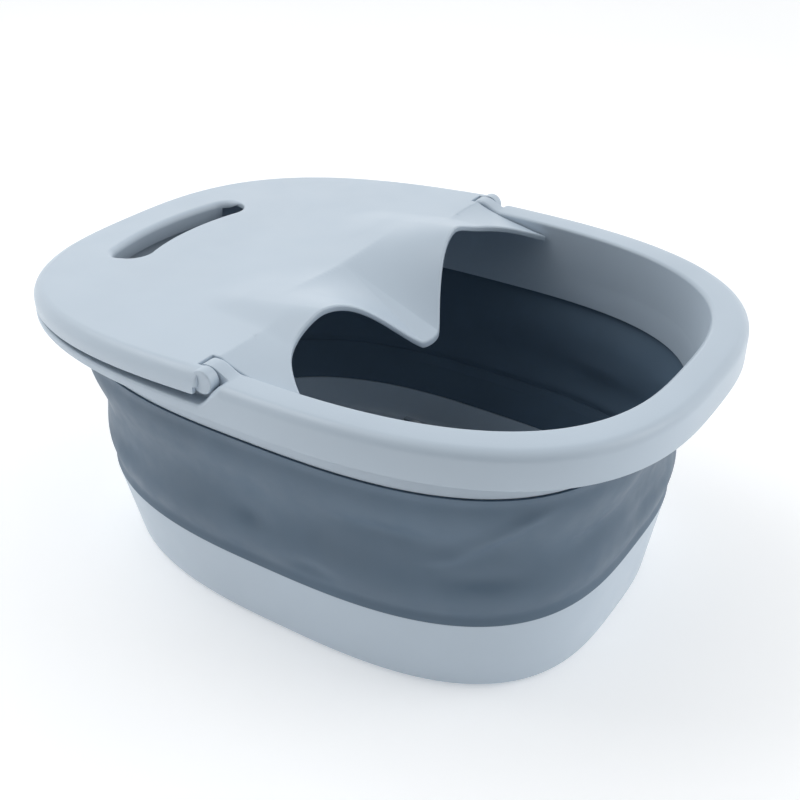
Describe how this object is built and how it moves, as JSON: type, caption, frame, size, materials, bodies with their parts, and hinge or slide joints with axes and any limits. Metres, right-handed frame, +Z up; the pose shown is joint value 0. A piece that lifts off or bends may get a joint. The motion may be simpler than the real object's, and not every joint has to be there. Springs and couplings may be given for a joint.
{
  "type": "foot spa basin",
  "caption": "Collapsible foot spa basin with a rigid base, folding rubber wall, rigid top ring, massage rollers and a hinged lid with leg arches.",
  "frame": {"origin": "on the floor, under the centre of the outline", "axes": "+X towards the open front end where the legs go in, -X towards the lid's hand slot, +Y to the far side, +Z up"},
  "size_m": [0.452, 0.326, 0.2027],
  "materials": {
    "shell": "satin moulded polypropylene",
    "lid": "satin moulded polypropylene",
    "rubber_wall": "matte thermoplastic rubber",
    "pad": "matte",
    "pin": "smooth",
    "steel": "drawn rod",
    "roller": "satin"
  },
  "bodies": {
    "base": {"base_tub": "shell", "bellows": "rubber_wall", "foot_pad_1": "pad", "foot_pad_2": "pad", "foot_pad_3": "pad", "foot_pad_4": "pad", "roller_cradle_near": "shell", "roller_cradle_far": "shell", "axle_near_1": "steel", "axle_near_2": "steel", "axle_near_3": "steel", "axle_far_1": "steel", "axle_far_2": "steel", "axle_far_3": "steel"},
    "ring": {"top_ring": "shell"},
    "lid_body": {"lid": "lid", "hinge_pin_near": "pin", "hinge_pin_far": "pin"},
    "roller_near_1_body": {"roller_near_1": "roller"},
    "roller_near_2_body": {"roller_near_2": "roller"},
    "roller_near_3_body": {"roller_near_3": "roller"},
    "roller_far_1_body": {"roller_far_1": "roller"},
    "roller_far_2_body": {"roller_far_2": "roller"},
    "roller_far_3_body": {"roller_far_3": "roller"}
  },
  "joints": [
    {"name": "ring_fold", "type": "slide", "parent": "base", "child": "ring", "axis": [0, 0, -1], "range_m": [0, 0.08], "deforming": ["bellows"]},
    {"name": "lid_hinge", "type": "hinge", "parent": "ring", "child": "lid_body", "pos_m": [-0.006, 0, 0.189], "axis": [0, 1, 0], "range_deg": [0, 100]},
    {"name": "roller_near_1_spin", "type": "hinge", "parent": "base", "child": "roller_near_1_body", "pos_m": [-0.028, -0.062, 0.017], "axis": [0, 1, 0], "continuous": true},
    {"name": "roller_near_2_spin", "type": "hinge", "parent": "base", "child": "roller_near_2_body", "pos_m": [0, -0.062, 0.017], "axis": [0, 1, 0], "continuous": true},
    {"name": "roller_near_3_spin", "type": "hinge", "parent": "base", "child": "roller_near_3_body", "pos_m": [0.028, -0.062, 0.017], "axis": [0, 1, 0], "continuous": true},
    {"name": "roller_far_1_spin", "type": "hinge", "parent": "base", "child": "roller_far_1_body", "pos_m": [-0.028, 0.062, 0.017], "axis": [0, 1, 0], "continuous": true},
    {"name": "roller_far_2_spin", "type": "hinge", "parent": "base", "child": "roller_far_2_body", "pos_m": [0, 0.062, 0.017], "axis": [0, 1, 0], "continuous": true},
    {"name": "roller_far_3_spin", "type": "hinge", "parent": "base", "child": "roller_far_3_body", "pos_m": [0.028, 0.062, 0.017], "axis": [0, 1, 0], "continuous": true}
  ]
}
